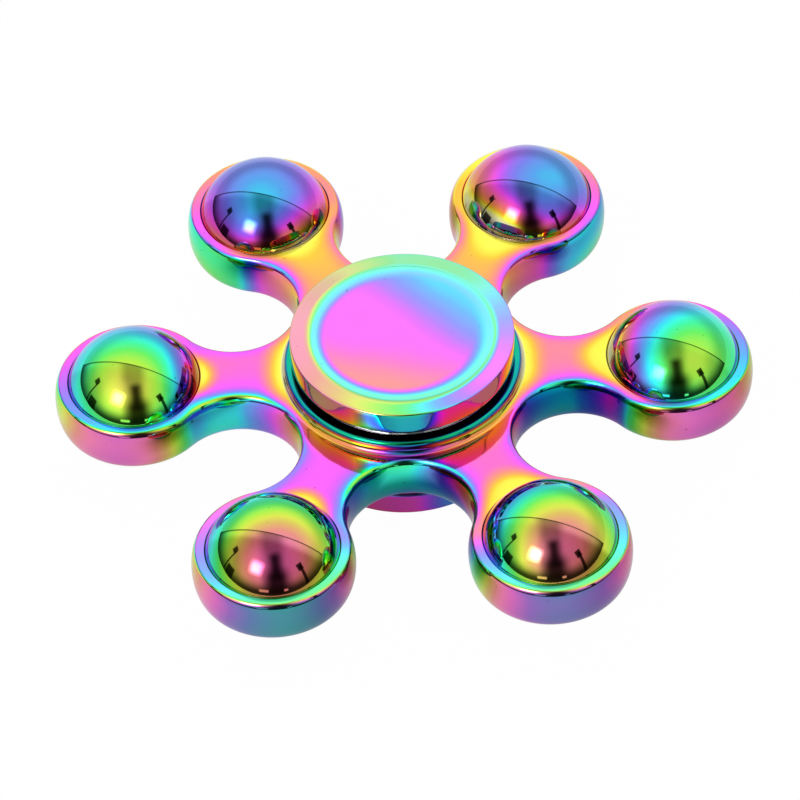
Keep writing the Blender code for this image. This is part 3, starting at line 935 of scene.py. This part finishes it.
def tent_light(graph, ray):
    """The white tent, the room beyond its opening, and the dark seam between them."""
    toward_back = graph.dot(ray, TENT_AXIS)
    height = graph.dot(ray, UP)
    aside = graph.math("ABSOLUTE", graph.dot(ray, RIGHT))

    # the tent is brighter overhead; the room is dim straight ahead, at the far sides and low down
    tent = graph.smooth(toward_back, *TENT_EDGE)
    white = graph.mix(graph.smooth(height, 0.20, 0.62), *TENT_LIGHT)
    room = graph.mix(graph.smooth(aside, 0.12, 0.45), *ROOM_LIGHT)
    far_side = graph.mix(graph.smooth(aside, 0.70, 0.97), 1.0, FAR_SIDE_SHARE)
    room = graph.math("MULTIPLY", room, far_side)
    room = graph.mix(graph.smooth(height, 0.0, 0.36), DIM_LIGHT, room)
    light = graph.mix(tent, room, white)

    outside = graph.math("SUBTRACT", 1.0, tent)
    seam = graph.math("MULTIPLY", graph.smooth(toward_back, *SEAM_EDGE), outside)
    return graph.mix(graph.math("MULTIPLY", seam, SEAM_SHARE), light, DIM_LIGHT)


def make_studio():
    """A white light tent, open towards the camera, which itself sees plain white around the spinner."""
    world = bpy.data.worlds.new("light_tent")
    bpy.context.scene.world = world
    world.use_nodes = True
    graph = Graph(world.node_tree)
    incoming = graph.node("ShaderNodeNewGeometry").outputs["Incoming"]
    inputs = (incoming, (-1.0, -1.0, -1.0))
    ray = graph.node("ShaderNodeVectorMath", inputs, operation="MULTIPLY").outputs[0]

    glow = graph.math("MULTIPLY", panel(graph, ray, *SOFT_BOX_GLOW), GLOW_LIGHT)
    light = graph.math("ADD", tent_light(graph, ray), glow)
    light = graph.mix(panel(graph, ray, *SOFT_BOX), light, SOFT_BOX_LIGHT)
    for card in DARK_CARDS:
        share = graph.math("MULTIPLY", panel(graph, ray, *card), DARK_SHARE)
        light = graph.mix(share, light, DARK_LIGHT)
    for card in WHITE_CARDS:
        light = graph.mix(panel(graph, ray, *card), light, WHITE_LIGHT)

    seen = graph.node("ShaderNodeLightPath").outputs["Is Camera Ray"]
    strength = graph.mix(seen, light, 1.0)
    background = graph.node("ShaderNodeBackground", {"Color": WHITE, "Strength": strength})
    graph.node("ShaderNodeOutputWorld", [background.outputs[0]])


def make_floor():
    """A white table whose own shading is almost burnt out to the camera."""
    mesh = bpy.data.meshes.new("floor")
    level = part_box("bottom_cap")[0].z
    front = [(side * TABLE_HALF, TABLE_FRONT, level) for side in (-1.0, 1.0)]
    back = [(side * TABLE_HALF, TABLE_HALF, level) for side in (1.0, -1.0)]
    mesh.from_pydata(front + back, [], [(0, 1, 2, 3)])
    floor = bpy.data.objects.new("floor", mesh)
    bpy.context.scene.collection.objects.link(floor)

    material = bpy.data.materials.new("white_table")
    material.use_nodes = True
    graph = Graph(material.node_tree)
    place = graph.node("ShaderNodeTexCoord").outputs["Object"]
    tooth = graph.noise(place, TABLE_SCALE, 3.0)
    tone = graph.toned(tooth, *TABLE_TONE)
    paper = graph.node("ShaderNodeCombineColor", [tone] * 3).outputs[0]
    diffuse = graph.node("ShaderNodeBsdfDiffuse", {"Color": paper})
    glow = graph.node("ShaderNodeEmission", {"Color": WHITE, "Strength": 1.0})
    seen = graph.node("ShaderNodeLightPath").outputs["Is Camera Ray"]
    burnt = graph.math("MAXIMUM", graph.math("MULTIPLY", seen, TABLE_BURNT), TABLE_GLOW)
    surface = graph.node("ShaderNodeMixShader", [burnt, diffuse.outputs[0], glow.outputs[0]])
    graph.node("ShaderNodeOutputMaterial", [surface.outputs[0]])
    mesh.materials.append(material)


def make_camera():
    data = bpy.data.cameras.new("camera")
    data.lens = CAMERA_LENS
    data.sensor_width = CAMERA_SENSOR
    data.clip_start, data.clip_end = CAMERA_CLIP
    camera = bpy.data.objects.new("camera", data)
    bpy.context.scene.collection.objects.link(camera)
    bpy.context.scene.camera = camera

    # a rolled camera, looking past the middle of the spinner
    sine, cosine = math.sin(CAMERA_ELEVATION), math.cos(CAMERA_ELEVATION)
    location = Vector((0.0, -cosine, sine)) * CAMERA_DISTANCE
    level_up = Vector((0.0, sine, cosine))
    right = RIGHT * math.cos(CAMERA_ROLL) + level_up * math.sin(CAMERA_ROLL)
    up = level_up * math.cos(CAMERA_ROLL) - RIGHT * math.sin(CAMERA_ROLL)
    aim = right * CAMERA_AIM[0] + up * CAMERA_AIM[1]
    back = (location - aim).normalized()
    right = (right - back * right.dot(back)).normalized()
    axes = Matrix((right, back.cross(right), back)).transposed().to_4x4()
    camera.matrix_world = Matrix.Translation(location) @ axes


make_casting()
make_balls()
make_caps()
dress_bearing()
make_studio()
make_floor()
make_camera()
bpy.context.scene.view_settings.view_transform = "Standard"
